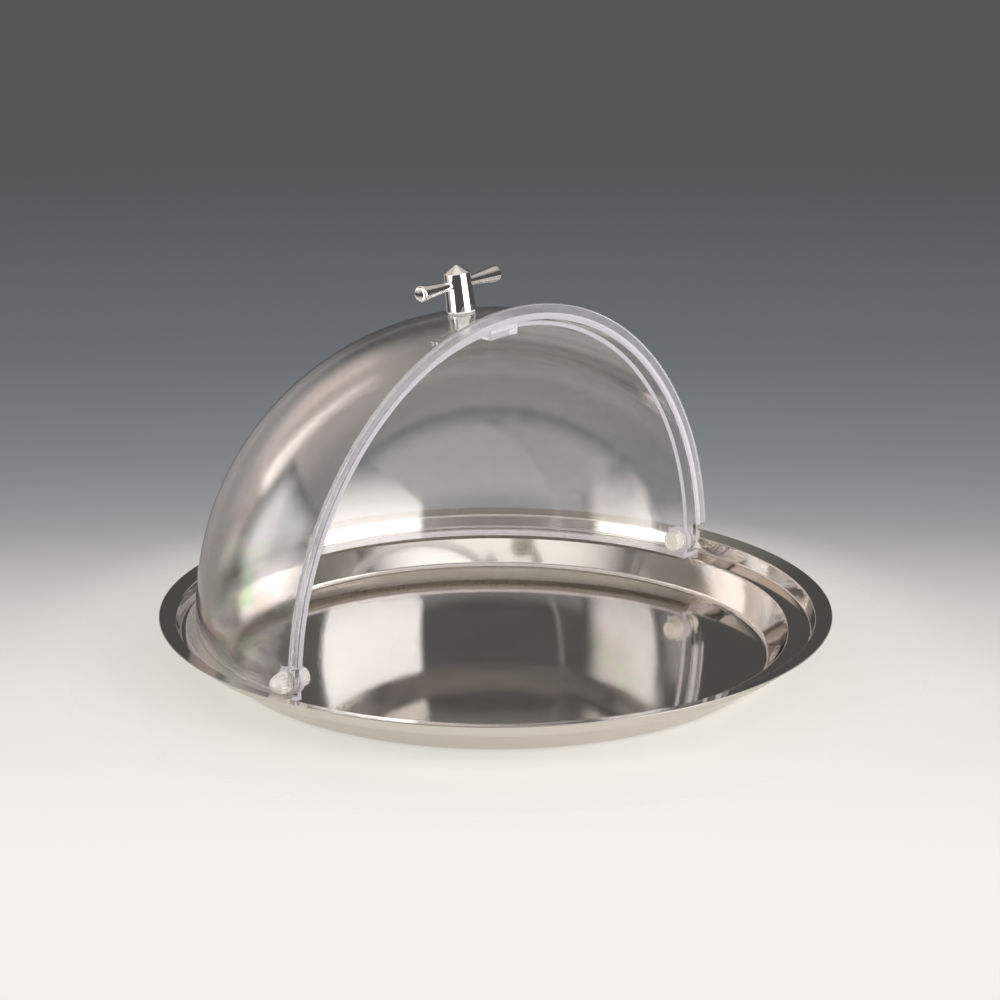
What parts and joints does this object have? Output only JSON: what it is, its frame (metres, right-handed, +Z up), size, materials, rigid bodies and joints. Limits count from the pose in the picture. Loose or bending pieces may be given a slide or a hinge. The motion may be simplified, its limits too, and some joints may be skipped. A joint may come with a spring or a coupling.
{
  "type": "roll-top food cover with tray",
  "caption": "Clear roll-top buffet cover: a fixed rear quarter dome and a front quarter dome that rolls open over it on side pivots, on a round polished steel tray, with a metal T-handle.",
  "frame": {"origin": "middle of the tray's underside, on the surface that it stands on", "axes": "+Z up, X along the pivot axis of the cover, the open side of the rolled-open cover faces -Y"},
  "size_m": [0.4199, 0.42, 0.2457],
  "materials": {
    "polished_steel": "mirror polished stainless steel",
    "clear_dome": "clear moulded polycarbonate, glossy",
    "clear_fitting": "clear moulded polycarbonate, glossy",
    "nylon": "natural nylon, satin",
    "chrome": "chrome plated, polished"
  },
  "bodies": {
    "tray": {"tray": "polished_steel"},
    "cover_rear": {"rear_shell": "clear_dome", "glide_clip": "clear_fitting", "left_pivot_knob": "clear_fitting", "right_pivot_knob": "clear_fitting", "left_outer_washer": "nylon", "right_outer_washer": "nylon", "left_pivot_bush": "nylon", "right_pivot_bush": "nylon", "left_spacer": "nylon", "right_spacer": "nylon", "left_inner_washer": "nylon", "right_inner_washer": "nylon", "left_inner_knob": "clear_fitting", "right_inner_knob": "clear_fitting"},
    "cover_front": {"front_shell": "clear_dome", "handle_post": "chrome", "handle_arm_left": "chrome", "handle_arm_right": "chrome", "handle_screw": "chrome", "handle_gasket": "nylon"}
  },
  "joints": [
    {"name": "cover_lift", "type": "slide", "parent": "tray", "child": "cover_rear", "axis": [0, 0, 1], "range_m": [0, 0.25]},
    {"name": "cover_roll", "type": "hinge", "parent": "cover_rear", "child": "cover_front", "pos_m": [0, 0, 0.0315], "axis": [1, 0, 0], "range_deg": [0, 90]}
  ]
}
